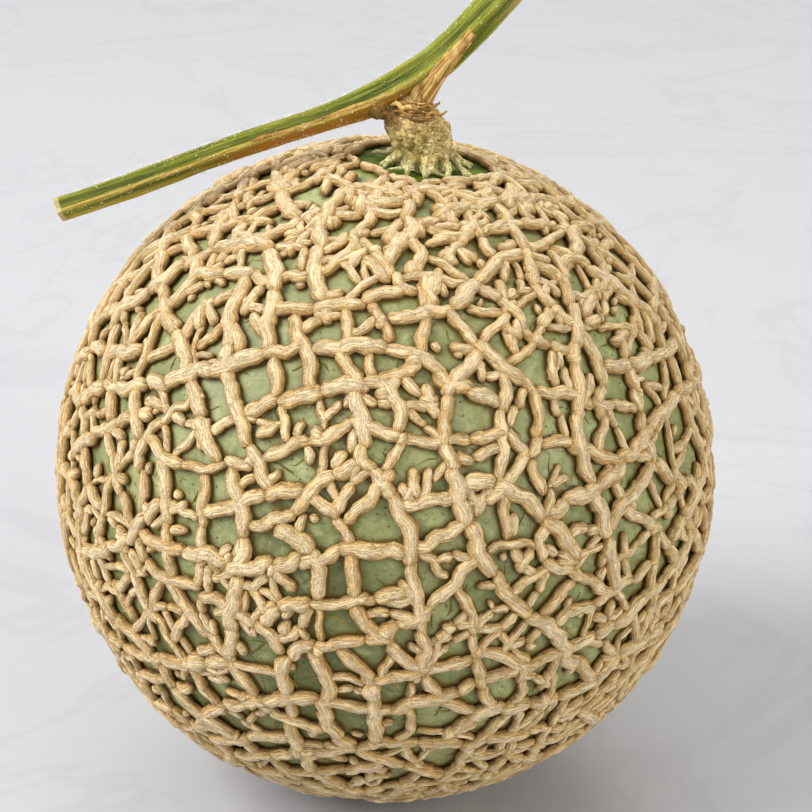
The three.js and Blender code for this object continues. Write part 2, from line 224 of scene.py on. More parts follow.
# Net, its course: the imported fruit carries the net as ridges, and the fine net grows along them. Where two
# ridge corners share an edge there is a cord, and the foot of its slope gives its width.
FULL_TURN = 2 * math.pi
EQUATOR_RADIUS = 72.4
HALF_HEIGHT = 73.6
SWELL = 0.5
STEM_LEAN = math.radians(6.2)
STEM_AXIS = np.array([math.sin(STEM_LEAN), 0, math.cos(STEM_LEAN)])
BASIN_FLOOR = 72.0
WELD = 0.01
RIDGE_LIFT = 0.7
STRAIGHT_ON = -0.55
CROSSINGS_BROKEN = 0.7
BASIN_RING = 18.5
SEED = 7

rng = np.random.default_rng(SEED)
noise.seed_set(SEED)


def unit(vectors):
    return vectors / np.linalg.norm(vectors, axis=-1, keepdims=True)


def turns(count):
    """Directions spread evenly over a full turn."""
    return np.arange(count) * FULL_TURN / count


def read_vectors(items, field):
    """A field of a mesh's items, with three numbers a row."""
    values = np.empty(len(items) * 3)
    items.foreach_get(field, values)
    return values.reshape(-1, 3)


def skin_radius(ways):
    """The skin's distance from the fruit's centre in each direction."""
    across = np.hypot(ways[..., 0], ways[..., 1])
    ellipsoid = 1 / np.hypot(across / EQUATOR_RADIUS, ways[..., 2] / HALF_HEIGHT)
    turn = np.arctan2(ways[..., 1], ways[..., 0])
    swells = 0.5 * np.sin(2 * turn + 0.6) + np.sin(3 * turn - 1.1) * ways[..., 2]
    return ellipsoid + SWELL * (1 - ways[..., 2] ** 2) * swells


def welded(node):
    """A node's corners in millimetres with doubles joined, and its triangles as corner numbers."""
    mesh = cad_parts[node].data
    corners = read_vectors(mesh.vertices, "co") * METRE
    mesh.calc_loop_triangles()
    triangles = np.empty(len(mesh.loop_triangles) * 3, int)
    mesh.loop_triangles.foreach_get("vertices", triangles)
    _, first, number = np.unique(np.round(corners / WELD), axis=0, return_index=True, return_inverse=True)
    return corners[first], number.ravel()[triangles].reshape(-1, 3)


def read_net():
    """The net's junctions as directions, and its cords as {(junction, junction): half width}."""
    corners, triangles = welded("fruit")
    ways = unit(corners - FRUIT_CENTRE)
    lifts = np.linalg.norm(corners - FRUIT_CENTRE, axis=1) - skin_radius(ways)
    is_ridge = lifts > RIDGE_LIFT
    beside = {}
    for triangle in triangles:
        for i in range(3):
            a, b, third = (int(triangle[(i + step) % 3]) for step in range(3))
            if is_ridge[a] and is_ridge[b]:
                beside.setdefault((min(a, b), max(a, b)), []).append(third)
    cords = {}
    for (a, b), thirds in beside.items():
        feet = [third for third in thirds if not is_ridge[third]]
        if feet:
            along = unit(corners[b] - corners[a])
            reach = corners[feet] - corners[a]
            off = reach - np.outer(reach @ along, along)
            off -= np.sum(off * ways[a], axis=1)[:, None] * ways[a]
            cords[a, b] = float(np.mean(np.linalg.norm(off, axis=1)))
    return ways, cords


ways, cord_widths = read_net()
neighbours = {}
for a, b in cord_widths:
    neighbours.setdefault(a, []).append(b)
    neighbours.setdefault(b, []).append(a)


def width_of(a, b):
    return cord_widths[min(a, b), max(a, b)]


def arc_from_stem(way):
    """How far from the stalk's axis a direction is, along the skin."""
    return math.acos(min(1, way @ STEM_AXIS)) * EQUATOR_RADIUS


def straight_pairs(junction):
    """Which cord goes on as which through a junction. A second straight pair crosses the first only now and
    then, and round the basin none goes on."""
    if arc_from_stem(ways[junction]) < BASIN_RING:
        return {}
    free = sorted(neighbours[junction])
    leaving = {n: unit(ways[n] - ways[junction]) for n in free}
    pairs = {}
    while len(free) > 1:
        tries = [(p, q) for i, p in enumerate(free) for q in free[i + 1 :]]
        bend, p, q = min((leaving[p] @ leaving[q], p, q) for p, q in tries)
        if bend > STRAIGHT_ON or (pairs and rng.random() < CROSSINGS_BROKEN):
            break
        pairs[p] = q
        pairs[q] = p
        free = [n for n in free if n not in (p, q)]
    return pairs


going_on = {junction: straight_pairs(junction) for junction in sorted(neighbours)}


def follow(start, second):
    """The junctions that a cord runs through from its start on."""
    course = [start, second]
    while True:
        before, here = course[-2:]
        onward = going_on[here].get(before)
        if onward is None or (here, onward) in walked:
            return course
        walked.update([(here, onward), (onward, here)])
        course.append(onward)


walked = set()
courses = []
starts = [(a, b) for a in sorted(neighbours) for b in sorted(neighbours[a]) if b not in going_on[a]]
for a, b in [*starts, *sorted(cord_widths)]:
    if (a, b) not in walked:
        walked.update([(a, b), (b, a)])
        courses.append(follow(a, b))


# Net, its cords: each is a string of corky worms with blunt round ends that butt against each other and the
# cords that they meet, so that a dark crease shows at every joint. They are round above and sunk in the skin.
CORD_ANGLES = np.radians([-90, -28, 3, 32, 61, 90, 119, 148, 177, 208])
RING_STEP = 1.35
ROUTE_STEP = 0.4
NET_BANDS = ["net_foot", "net_flank", "net_waist", "net_shoulder", "net_crown"]
BANDS_A_RADIUS = 2.45
NET_TOP = 2.5
CORD_SHARE = 0.535
CORD_DOUBLING = 0.095
SHORT_CORD = 8.0
WIDEST_CORD = 1.72
NARROWEST_CORD = 0.85
CREASE = 0.5
MEETING_SPREAD = 1.9
SLANT = 1.3
DRIFT = 2.6
DRIFT_FINENESS = 4.2
WANDER = 0.6
WANDER_EASE = 4
TANGENT_REACH = 0.3
SHORTEST_WORM = 1.2
SHORTEST_LAST_WORM = 4
CAP_RINGS = [(0.0, 0.03), (0.14, 0.5), (0.55, 0.86)]


def curve_through(points, step):
    """A smooth curve through points, itself as points about a step apart: centripetal Catmull-Rom."""
    points = np.asarray(points, float)
    padded = np.vstack([2 * points[0] - points[1], points, 2 * points[-1] - points[-2]])
    knots = np.cumsum([0, *np.sqrt(np.linalg.norm(np.diff(padded, axis=0), axis=1))])
    stretches = []
    for i in range(len(points) - 1):
        p0, p1, p2, p3 = padded[i : i + 4]
        t0, t1, t2, t3 = knots[i : i + 4]
        count = max(2, math.ceil(np.linalg.norm(p2 - p1) / step))
        t = np.linspace(t1, t2, count, endpoint=False)[:, None]
        a1 = (t1 - t) / (t1 - t0) * p0 + (t - t0) / (t1 - t0) * p1
        a2 = (t2 - t) / (t2 - t1) * p1 + (t - t1) / (t2 - t1) * p2
        a3 = (t3 - t) / (t3 - t2) * p2 + (t - t2) / (t3 - t2) * p3
        b1 = (t2 - t) / (t2 - t0) * a1 + (t - t0) / (t2 - t0) * a2
        b2 = (t3 - t) / (t3 - t1) * a2 + (t - t1) / (t3 - t1) * a3
        stretches.append((t2 - t) / (t2 - t1) * b1 + (t - t1) / (t2 - t1) * b2)
    return np.vstack([*stretches, points[-1:]])


def length_along(route):
    return np.concatenate([[0], np.cumsum(np.linalg.norm(np.diff(route, axis=0), axis=1))])


def at_lengths(route, lengths, wanted):
    return np.stack([np.interp(wanted, lengths, route[:, i]) for i in range(3)], axis=1)


def add_trait(mesh, name, values):
    """Gives a mesh a number or a vector at each of its corners."""
    kind, field = ("FLOAT", "value") if values.ndim == 1 else ("FLOAT_VECTOR", "vector")
    mesh.attributes.new(name, kind, "POINT").data.foreach_set(field, values.ravel())


class Shell:
    """A mesh in the making: tubes are added to it, with the traits that its material reads at each corner."""

    def __init__(self):
        self.corners = []
        self.quads = []
        self.triangles = []
        self.traits = {}
        self.count = 0

    def add(self, corners, quads, triangles, **traits):
        self.corners.append(corners)
        self.quads.append(np.asarray(quads, int).reshape(-1, 4) + self.count)
        self.triangles.append(np.asarray(triangles, int).reshape(-1, 3) + self.count)
        for name, values in traits.items():
            self.traits.setdefault(name, []).append(values)
        self.count += len(corners)

    def add_tube(self, rings, start=None, end=None, **traits):
        """A closed tube through rings of corners, which turn from side to up when seen from its start. It
        ends in the middles of its end rings, unless other points are given."""
        start = rings[0].mean(axis=0) if start is None else start
        end = rings[-1].mean(axis=0) if end is None else end
        count, sides = rings.shape[:2]
        number = np.arange(count * sides).reshape(count, sides)
        beside = np.roll(number, -1, axis=1)
        quads = np.stack([number[:-1], number[1:], beside[1:], beside[:-1]], axis=-1)
        first, last = count * sides, count * sides + 1
        caps = [[first, number[0, k], beside[0, k]] for k in range(sides)]
        caps += [[last, beside[-1, k], number[-1, k]] for k in range(sides)]
        corners = np.vstack([rings.reshape(-1, 3), start, end])
        whole = {name: self.with_poles(values) for name, values in traits.items()}
        self.add(corners, quads, caps, **whole)

    def with_poles(self, values):
        flat = values.reshape(-1, *values.shape[2:])
        poles = [values[i].mean(axis=0, keepdims=True) for i in (0, -1)]
        return np.concatenate([flat, *poles])

    def finish(self, name, finish, slot, node):
        corners = np.vstack(self.corners)
        quads = np.vstack(self.quads)
        triangles = np.vstack(self.triangles)
        mesh = bpy.data.meshes.new(name)
        mesh.vertices.add(len(corners))
        mesh.vertices.foreach_set("co", (corners / METRE).ravel())
        mesh.loops.add(quads.size + triangles.size)
        mesh.loops.foreach_set("vertex_index", np.concatenate([quads.ravel(), triangles.ravel()]))
        mesh.polygons.add(len(quads) + len(triangles))
        triangle_starts = quads.size + np.arange(len(triangles)) * 3
        starts = np.concatenate([np.arange(len(quads)) * 4, triangle_starts])
        mesh.polygons.foreach_set("loop_start", starts)
        mesh.update(calc_edges=True)
        mesh.validate()
        mesh.shade_smooth()
        for trait, values in self.traits.items():
            add_trait(mesh, trait, np.concatenate(values))
        piece = bpy.data.objects.new(name, mesh)
        bpy.context.scene.collection.objects.link(piece)
        mesh.materials.append(finish.material)
        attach(piece, "root")
        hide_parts(node)
        return piece


def random_phases(shortest, longest, count):
    """The lengths of some waves, and how far each is along at its start."""
    return np.stack([rng.uniform(shortest, longest, count), rng.uniform(0, FULL_TURN, count)], axis=1)


def waves(phases, along):
    """A slow wander between about -1 and 1 along a cord."""
    return sum(np.sin(FULL_TURN * along / length + phase) for length, phase in phases) / len(phases)


def meeting_place(junction, came_from):
    """Where a cord's end meets the cord that passes through its junction: a little beside the middle."""
    passing = [n for n in going_on[junction] if n != came_from]
    if came_from in going_on[junction] or not passing:
        return ways[junction]
    along = ways[passing[0]] - ways[going_on[junction][passing[0]]]
    aside = unit(along) * rng.uniform(-MEETING_SPREAD, MEETING_SPREAD) / EQUATOR_RADIUS
    return unit(ways[junction] + aside)


def drifted(way):
    """A direction moved a little sideways by a slow noise, so that long cords bend like the photograph's."""
    drift = noise.noise_vector(Vector(way * DRIFT_FINENESS))
    return unit(way + np.array(drift) * DRIFT / EQUATOR_RADIUS)


def cord_route(course):
    """A cord's middle line on the skin, with a slight sideways wander between its two ends."""
    start = meeting_place(course[0], course[1])
    points = [start, *ways[course[1:-1]], meeting_place(course[-1], course[-2])]
    route = curve_through(np.array([drifted(point) for point in points]) * EQUATOR_RADIUS, ROUTE_STEP)
    along = length_along(route)
    phases = random_phases(5, 14, 3)
    inside = np.clip(np.minimum(along, along[-1] - along) / WANDER_EASE, 0, 1)
    sideways = unit(np.cross(np.gradient(route, axis=0), route))
    wander = WANDER * waves(phases, along) * inside
    return unit(route + sideways * wander[:, None]) * EQUATOR_RADIUS


def worm_stations(start, end, width):
    """Where a worm's rings stand along its route, and how wide each one is as a share of the worm."""
    length = end - start
    cap = min(1.1 * width, 0.45 * length)
    body = np.linspace(start + cap, end - cap, max(2, math.ceil((length - 2 * cap) / RING_STEP) + 1))
    head = [(start + cap * step, share) for step, share in CAP_RINGS]
    tail = [(end - cap * step, share) for step, share in reversed(CAP_RINGS)]
    stations = [*head, *[(place, 1.0) for place in body], *tail]
    return np.array(stations).T


def rings_on_skin(up, side, across, lift):
    """Rings of corners round a line on the skin, from their distances across the line and above the skin."""
    base = up * skin_radius(up)[:, None] + FRUIT_CENTRE
    return base[:, None] + side[:, None] * across[..., None] + up[:, None] * lift[..., None]


def grow_worm(shell, route, start, end, width, rise):
    """One worm: an oval tube with waists, knuckles and lengthwise flutes, its underside sunk in the skin."""
    lengths = length_along(route)
    places, shares = worm_stations(start, end, width)
    middle = at_lengths(route, lengths, places)
    ahead = at_lengths(route, lengths, np.minimum(places + TANGENT_REACH, lengths[-1]))
    behind = at_lengths(route, lengths, np.maximum(places - TANGENT_REACH, 0))
    side = unit(np.cross(ahead - behind, middle))
    phases = random_phases(3, 7, 4)
    along = (places - start) / (end - start)
    slant = rng.uniform(-0.3, 0.3) + rng.uniform(-1, 1) * SLANT * (along - 0.5)
    wiggle = slant + 0.16 * np.sin(FULL_TURN * places / rng.uniform(4, 7) + phases[3, 1])
    middle = middle + side * wiggle[:, None]
    up = unit(middle)
    lumps = 1 + 0.14 * waves(phases[:2], places) + 0.06 * np.sin(FULL_TURN * places / 2.3 + phases[2, 1])
    spindle = 0.86 + 0.18 * np.sin(math.pi * along) ** 0.7
    half_width = width * shares * lumps * spindle
    half_height = (0.54 * width + 0.42) * shares * (1 + 0.1 * waves(phases[2:], places)) * spindle
    centre_lift = (0.5 * width + 0.2 + rise) * (0.62 + 0.38 * shares)
    turn = CORD_ANGLES
    twist = places[:, None] * rng.uniform(-0.12, 0.12)
    flutes = 1 + 0.05 * np.sin(3 * turn + phases[0, 1] + twist)
    flutes = flutes + 0.04 * np.sin(5 * turn + phases[1, 1] - 1.3 * twist)
    flutes = flutes + 0.05 * np.sin(FULL_TURN * places[:, None] / 1.9 + 2 * turn + phases[2, 1])
    across = np.cos(turn) * half_width[:, None] * flutes
    lift = np.sin(turn) * half_height[:, None] * flutes + centre_lift[:, None]
    lift = np.minimum(lift, NET_TOP)
    rings = rings_on_skin(up, side, across, lift)
    rings[..., 2] = np.maximum(rings[..., 2], 0)
    fibre_parts = (places[:, None], turn * width, rng.uniform(0, 100))
    fibre = np.stack([np.broadcast_to(part, across.shape) for part in fibre_parts], axis=-1)
    tint = np.full(across.shape, rng.uniform(0, 1))
    shell.add_tube(rings, fibre=fibre, lift=lift / lift.max(), tint=tint)
    for place, share in zip(up, shares):
        net_line.append((place, width * share))


shells = {band: Shell() for band in NET_BANDS}
net_line = []


def shell_at(way):
    """The band of the net that a direction falls in."""
    return shells[NET_BANDS[min(len(NET_BANDS) - 1, int((way[2] + 1) * BANDS_A_RADIUS))]]


def end_gap(junction, came_from):
    """How far short of a junction's middle a cord ends: at the flank of what passes, if anything does."""
    passing = [width_of(junction, n) for n in going_on[junction] if n != came_from]
    if came_from in going_on[junction] or not passing:
        return 0
    return 0.5 * max(passing)


for course in courses:
    widths = [width_of(a, b) for a, b in zip(course, course[1:])]
    route = cord_route(course)
    total = length_along(route)[-1]
    share = CORD_SHARE + CORD_DOUBLING * math.log2(total / SHORT_CORD)
    width = float(np.clip(share * np.mean(widths) + rng.normal(0, 0.19), NARROWEST_CORD, WIDEST_CORD))
    place = end_gap(course[0], course[1])
    stop = total - end_gap(course[-1], course[-2])
    while stop - place > SHORTEST_WORM:
        reach = rng.uniform(4.5, 8 + 5 * width)
        end = stop if stop - place - reach < SHORTEST_LAST_WORM else place + reach
        middle = at_lengths(route, length_along(route), [(place + end) / 2])[0]
        own_width = width * rng.uniform(0.84, 1.12)
        overlap = CREASE * width * rng.uniform(0.4, 1.5)
        start = max(0, place - overlap)
        rise = rng.uniform(-0.22, 0.22)
        grow_worm(shell_at(unit(middle)), route, start, min(total, end + overlap), own_width, rise)
        if end == stop:
            break
        place = end


# Net, its short pieces: thin cords that bridge a cell, side shoots that stop inside one, small corky beads on
# the skin, knots on the junctions, and a crowd of short cords round the stalk. They are part of the one net.
KEEP_OFF_BASIN = 14.5
BEADS_KEEP_OFF = 16
STUB_COUNT = 380
BEAD_COUNT = 120
KNOT_SHARE = 0.24
BRIDGE_COUNT = 460
BRIDGE_STEP = 0.8
NET_REFRESH = 60
LONGEST_BRIDGE = 13
LONGEST_BRIDGE_WORM = 8
BRIDGE_OVERLAP = 0.3
BRIDGE_ROOM = 1.5
STUB_ROOM = 1.2
BEAD_ROOM = 1.0
CROWD_COUNT = 300
CROWD_START = 15.5
CROWD_REACH = 16


def look_up_net():
    """The points along the net so far, how wide it is at each, and a search for the nearest one."""
    line_ways = np.array([way for way, _ in net_line])
    line_widths = np.array([width for _, width in net_line])
    tree = kdtree.KDTree(len(line_ways))
    for number, way in enumerate(line_ways):
        tree.insert(Vector(way * EQUATOR_RADIUS), number)
    tree.balance()
    return line_ways, line_widths, tree


line_ways, line_widths, net_tree = look_up_net()


def clearance(way):
    """How far a point on the skin is from the flank of the nearest cord."""
    _, number, distance = net_tree.find(Vector(way * EQUATOR_RADIUS))
    return distance - line_widths[number]


def heading(way, angle):
    """A direction along the skin."""
    east = unit(np.cross([0.3, 0.5, 0.8], way))
    return math.cos(angle) * east + math.sin(angle) * np.cross(way, east)


def random_turn():
    return rng.uniform(0, FULL_TURN)


def random_way():
    height = rng.uniform(-1, 1)
    turn = random_turn()
    across = math.sqrt(1 - height * height)
    return np.array([across * math.cos(turn), across * math.sin(turn), height])


def short_route(way, angle, length, bend):
    """A short, slightly bent line on the skin from a point."""
    points = [way * EQUATOR_RADIUS]
    for step in range(3):
        onward = heading(unit(points[-1]), angle + bend * step)
        points.append(unit(points[-1] + onward * length / 3) * EQUATOR_RADIUS)
    return curve_through(points, ROUTE_STEP)


def step_on(point, angle, step):
    """The point on the skin that lies a step on from another."""
    return unit(point + heading(unit(point), angle) * step) * EQUATOR_RADIUS


def grow_short(way, angle, length, bend, width, rise):
    grow_worm(shell_at(way), short_route(way, angle, length, bend), 0, length, width, rise)


def across_cell(way, angle):
    """A line on the skin from a cord to the next one, or nothing where that is too near or too far."""
    points = [way * EQUATOR_RADIUS]
    widest = 0
    while len(points) * BRIDGE_STEP < LONGEST_BRIDGE:
        points.append(step_on(points[-1], angle, BRIDGE_STEP))
        room = clearance(unit(points[-1]))
        widest = max(widest, room)
        if widest > BRIDGE_ROOM and room < -0.4:
            return points
        angle += rng.normal(0, 0.1)
    return None


bridges = 0
while bridges < BRIDGE_COUNT:
    way = line_ways[int(rng.integers(len(line_ways)))]
    points = across_cell(way, random_turn())
    if points is None or min(arc_from_stem(way), arc_from_stem(unit(points[-1]))) < KEEP_OFF_BASIN:
        continue
    route = curve_through(points, ROUTE_STEP)
    total = length_along(route)[-1]
    width = rng.uniform(0.85, 1.25)
    split = total * rng.uniform(0.4, 0.6) if total > LONGEST_BRIDGE_WORM else total
    end = split + BRIDGE_OVERLAP * (split < total)
    grow_worm(shell_at(way), route, 0.5, end, width, rng.uniform(-0.15, 0.05))
    if split < total:
        second = width * rng.uniform(0.85, 1.1)
        grow_worm(shell_at(way), route, split - BRIDGE_OVERLAP, total, second, rng.uniform(-0.15, 0.05))
    bridges += 1
    if bridges % NET_REFRESH == 0:
        line_ways, line_widths, net_tree = look_up_net()

stubs = 0
while stubs < STUB_COUNT:
    number = int(rng.integers(len(line_ways)))
    way = line_ways[number]
    angle = random_turn()
    length = rng.uniform(2.4, 6.5) + line_widths[number]
    route = short_route(way, angle, length, rng.uniform(-0.3, 0.3))
    tip = unit(route[-1])
    if clearance(tip) > STUB_ROOM and arc_from_stem(tip) >= KEEP_OFF_BASIN:
        grow_worm(shell_at(way), route, 0.4, length, rng.uniform(0.9, 1.3), 0)
        stubs += 1

beads = 0
while beads < BEAD_COUNT:
    way = random_way()
    if clearance(way) > BEAD_ROOM and arc_from_stem(way) >= BEADS_KEEP_OFF:
        length = rng.uniform(1.7, 2.8)
        grow_short(way, random_turn(), length, 0.2, rng.uniform(0.75, 1.1), -0.1)
        beads += 1

for junction in sorted(neighbours):
    if rng.random() < KNOT_SHARE:
        length = rng.uniform(2.6, 3.8)
        angle = random_turn()
        start = unit(ways[junction] - heading(ways[junction], angle) * length / 2 / EQUATOR_RADIUS)
        grow_short(start, angle, length, rng.uniform(-0.3, 0.3), rng.uniform(1.1, 1.5), 0.3)

crowded = 0
while crowded < CROWD_COUNT:
    way = random_way()
    arc = arc_from_stem(way)
    if arc < CROWD_START or rng.random() > math.exp((CROWD_START - arc) / CROWD_REACH):
        continue
    length = rng.uniform(4, 9)
    route = short_route(way, random_turn(), length, rng.uniform(-0.4, 0.4))
    if arc_from_stem(unit(route[-1])) >= CROWD_START - 1:
        grow_worm(shell_at(way), route, 0, length, rng.uniform(0.95, 1.5), rng.uniform(-0.1, 0.3))
        crowded += 1

_, line_widths, net_tree = look_up_net()

cork = Finish("corky_net", Roughness=0.6, Specular_IOR_Level=0.45)
fibre = cork.trait("fibre", "Vector")
height = cork.trait("lift")
tint = cork.trait("tint")
streaks = cork.streaks(fibre, (0.2, 1.5, 1.0), 3, 0.6, 0.25)
fine_streaks = cork.streaks(fibre, (0.4, 3.4, 1.0), 3, 0.6)
wrinkles = cork.streaks(fibre, (1.3, 0.8, 1.0), 4, 0.65)
blotches = cork.noise(cork.place(), 150, 4, 0.6)
patches = cork.noise(cork.place(), 24, 2)
grooves = 1 - cork.between((streaks - 0.5).absolute(), 0.0, 0.05)
base = cork.layered(cork.blend(streaks, 0.3, 0.7, (218, 180, 112), (234, 202, 138)), [
    (blotches, 0.45, 0.7, 0.4, (248, 224, 174)),
    (tint, 0.55, 1, 0.3, (240, 214, 156)),
    (tint, 0.4, 0, 0.3, (208, 162, 96)),
    (patches, 0.5, 0.75, 0.25, (214, 170, 106)),
])
base = cork.layered(cork.mix(grooves * 0.34, base, linear(178, 128, 64)), [
    (fine_streaks, 0.44, 0.32, 0.5, (164, 116, 54)),
    (wrinkles, 0.4, 0.3, 0.45, (156, 110, 50)),
    # Painted light: golden-brown painted shade down the cords' flanks, darker painted shade at their feet by
    # the skin, and a pale painted highlight along their tops.
    (height, 0.82, 0.35, 0.8, (164, 118, 50)),
    (height, 0.5, 0.12, 0.9, (124, 92, 34)),
    (height, 0.78, 0.98, 0.45, (255, 240, 206)),
])
cork.colour(base)
cork.roughness(0.55 + 0.25 * blotches)
cork.bump(streaks * 0.35 - grooves * 0.22 + fine_streaks * 0.35 + wrinkles * 0.6 + blotches * 0.35, 0.0015)

for band in NET_BANDS:
    shells[band].finish(band, cork, "netted_rind", "fruit")


# Skin: smooth and pale green under the net, with faint mottling and small dark specks. It dips to a dark
# green basin round the stalk, and round the cords' feet it is darkened and browned with painted shade.
SKIN_CUTS = 87
BASIN_EDGE = 15.0
BASIN_FLOOR_EDGE = 11.0

bpy.ops.object.select_all(action="DESELECT")
bpy.ops.mesh.primitive_cube_add(size=2)
skin = bpy.context.object
skin.name = "skin"
bpy.ops.object.mode_set(mode="EDIT")
bpy.ops.mesh.select_all(action="SELECT")
bpy.ops.mesh.subdivide(number_cuts=SKIN_CUTS)
bpy.ops.object.mode_set(mode="OBJECT")
skin_ways = unit(np.tan(read_vectors(skin.data.vertices, "co") * math.pi / 4))


def smooth_step(value, low, high):
    share = np.clip((value - low) / (high - low), 0, 1)
    return share * share * (3 - 2 * share)


def dressed_radius(ways):
    """The skin with its basin, whose floor is flat across the stalk."""
    towards_stem = np.clip(ways @ STEM_AXIS, -1, 1)
    arc = np.arccos(towards_stem) * EQUATOR_RADIUS
    floor_radius = BASIN_FLOOR / np.maximum(towards_stem, 0.5)
    share = smooth_step(arc, BASIN_FLOOR_EDGE, BASIN_EDGE)
    return floor_radius * (1 - share) + skin_radius(ways) * share


skin_corners = skin_ways * dressed_radius(skin_ways)[:, None] + FRUIT_CENTRE
skin.data.vertices.foreach_set("co", (skin_corners / METRE).ravel())
nearness = np.array([clearance(way) for way in skin_ways])
add_trait(skin.data, "gap", nearness)
skin.data.shade_smooth()

peel = Finish("pale_green_skin", Specular_IOR_Level=0.3, Coat_Weight=0.05, Coat_Roughness=0.3)
place = peel.place()
gap = peel.trait("gap")
cloud = peel.noise(place, 38, 4, 0.6)
grain = peel.noise(place, 620, 4, 0.7, 0.6)
veins = peel.noise(place, 110, 4, 0.6, 1.2)
specks = peel.spots(place, 640)
speck_patch = peel.noise(place, 60, 2)
level = peel.part(place, 2)
green = peel.layered(peel.blend(cloud, 0.35, 0.68, (110, 115, 70), (150, 155, 106)), [
    (veins, 0.5, 0.68, 0.5, (178, 186, 132)),
    (veins, 0.44, 0.32, 0.5, (96, 106, 54)),
    (grain, 0.48, 0.66, 0.55, (92, 102, 52)),
    (grain, 0.44, 0.3, 0.4, (170, 178, 132)),
    # Low down the skin turns browner, and on its upper part it turns a little paler.
    (level, 0.06, 0.02, 0.65, (134, 122, 72)),
    (level, 0.085, 0.125, 0.15, (190, 194, 136)),
])
speck = peel.between(specks, 0.24, 0.12) * peel.between(speck_patch, 0.44, 0.56)
green = peel.layered(peel.mix(speck * 0.8, green, linear(66, 74, 20)), [
    # Painted shade: darker and browner close to the cords' feet, where their contact shadow falls.
    (gap, 1.3, 0.2, 0.4, (106, 98, 42)),
    (gap, 0.6, 0.05, 0.75, (106, 84, 30)),
])
vector_maths = "ShaderNodeVectorMath"
centre = tuple(FRUIT_CENTRE / METRE)
stem_place = peel.node(vector_maths, {"operation": "SUBTRACT"}, {0: place, 1: centre})
across_stem = peel.node(vector_maths, {"operation": "CROSS_PRODUCT"}, {0: stem_place, 1: tuple(STEM_AXIS)})
off_axis = peel.node(vector_maths, {"operation": "LENGTH"}, {0: across_stem}, "Value")
above = peel.part(stem_place, 2)
basin_mask = peel.between(off_axis + (cloud - 0.5) * 0.004, 0.0175, 0.0135) * peel.between(above, 0.05, 0.06)
basin_green = peel.blend(veins, 0.4, 0.7, (58, 78, 0), (106, 130, 8))
green = peel.mix(basin_mask, green, basin_green)
peel.colour(green)
peel.roughness(0.48 + 0.3 * basin_mask + 0.1 * grain)
peel.bump(grain * 0.3 + cloud * 0.5, 0.0004)
skin.data.materials.append(peel.material)
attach(skin, "root")
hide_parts("fruit")


# Cracks: olive hairlines where the skin has just begun to split and cork over. They start inside a cell and
# wander until they meet a cord.
CRACK_COUNT = 360
CRACK_SIDES = 4
CRACK_STEP = 0.8
FEWEST_CRACK_POINTS = 4

cracks = Shell()
made = 0
while made < CRACK_COUNT:
    way = random_way()
    angle = random_turn()
    wanted = rng.uniform(4, 10)
    if clearance(way) < 0.9 or arc_from_stem(way) < BEADS_KEEP_OFF:
        continue
    points = [way * EQUATOR_RADIUS]
    while len(points) * CRACK_STEP < wanted and clearance(unit(points[-1])) > -0.3:
        angle += rng.normal(0, 0.2)
        points.append(step_on(points[-1], angle, CRACK_STEP))
    if len(points) < FEWEST_CRACK_POINTS:
        continue
    made += 1
    route = curve_through(points, CRACK_STEP)
    along = length_along(route)
    up = unit(route)
    side = unit(np.cross(np.gradient(route, axis=0), up))
    taper = np.sqrt(np.clip(np.minimum(along, along[-1] - along) / 1.5, 0.02, 1)) * rng.uniform(0.15, 0.28)
    turn = -math.pi / 2 + turns(CRACK_SIDES)
    across = np.cos(turn) * taper[:, None]
    lift = np.sin(turn) * taper[:, None] * 0.75 + 0.02
    cracks.add_tube(rings_on_skin(up, side, across, lift))

olive = Finish("olive_hairline", Roughness=0.6)
freckle = olive.noise(olive.place(), 300, 3)
olive.colour(olive.blend(freckle, 0.35, 0.65, (92, 86, 24), (148, 132, 56)))
olive.bump(freckle, 0.0002)
cracks.finish("skin_cracks", olive, "netted_rind", "fruit")


# Resting spot: where the fruit lay, the net has grown together into one flat corky patch, which stands on the
# table. It is slightly dimpled, and its edge curls up to the skin.
REST_RADIUS = 9.8
REST_THICKNESS = 1.9
REST_RINGS = 26
REST_SIDES = 96
REST_TOP = 2.2

patch = Shell()
rings = []
for step in range(REST_RINGS):
    share = step / (REST_RINGS - 1)
    radius = REST_RADIUS * min(1, 0.03 + 1.25 * share)
    turn = turns(REST_SIDES)
    edge = radius * (1 + 0.03 * np.sin(5 * turn + 1) + 0.02 * np.sin(11 * turn))
    rim = smooth_step(share, 0.78, 1.0)
    low = REST_THICKNESS * rim
    dimple = 0.12 * (1 + np.sin(9 * turn + 7 * share)) * math.sin(math.pi * min(1, share / 0.7)) ** 2
    height_above = np.where(share < 0.02, 0, low + dimple * (1 - rim))
    rings.append(np.stack([edge * np.cos(turn), -edge * np.sin(turn), height_above + 0 * turn], axis=1))
rings = np.array(rings)
rest_turn = np.arctan2(rings[..., 1], rings[..., 0])
rest_out = np.linalg.norm(rings[..., :2], axis=-1)
patch.add_tube(
    rings,
    np.array([0.0, 0.0, 0.0]),
    np.array([0.0, 0.0, REST_TOP]),
    fibre=np.stack([rest_turn * 6, rest_out, 0 * rest_turn + 40], axis=-1),
    # This lift places the cork's painted shade and highlight on the patch: lighter on its flat part, darker
    # up its curled rim.
    lift=0.9 - 0.5 * rings[..., 2] / REST_THICKNESS,
    tint=0 * rest_turn + 0.35,
)
patch.finish("resting_spot", cork, "netted_rind", "fruit")


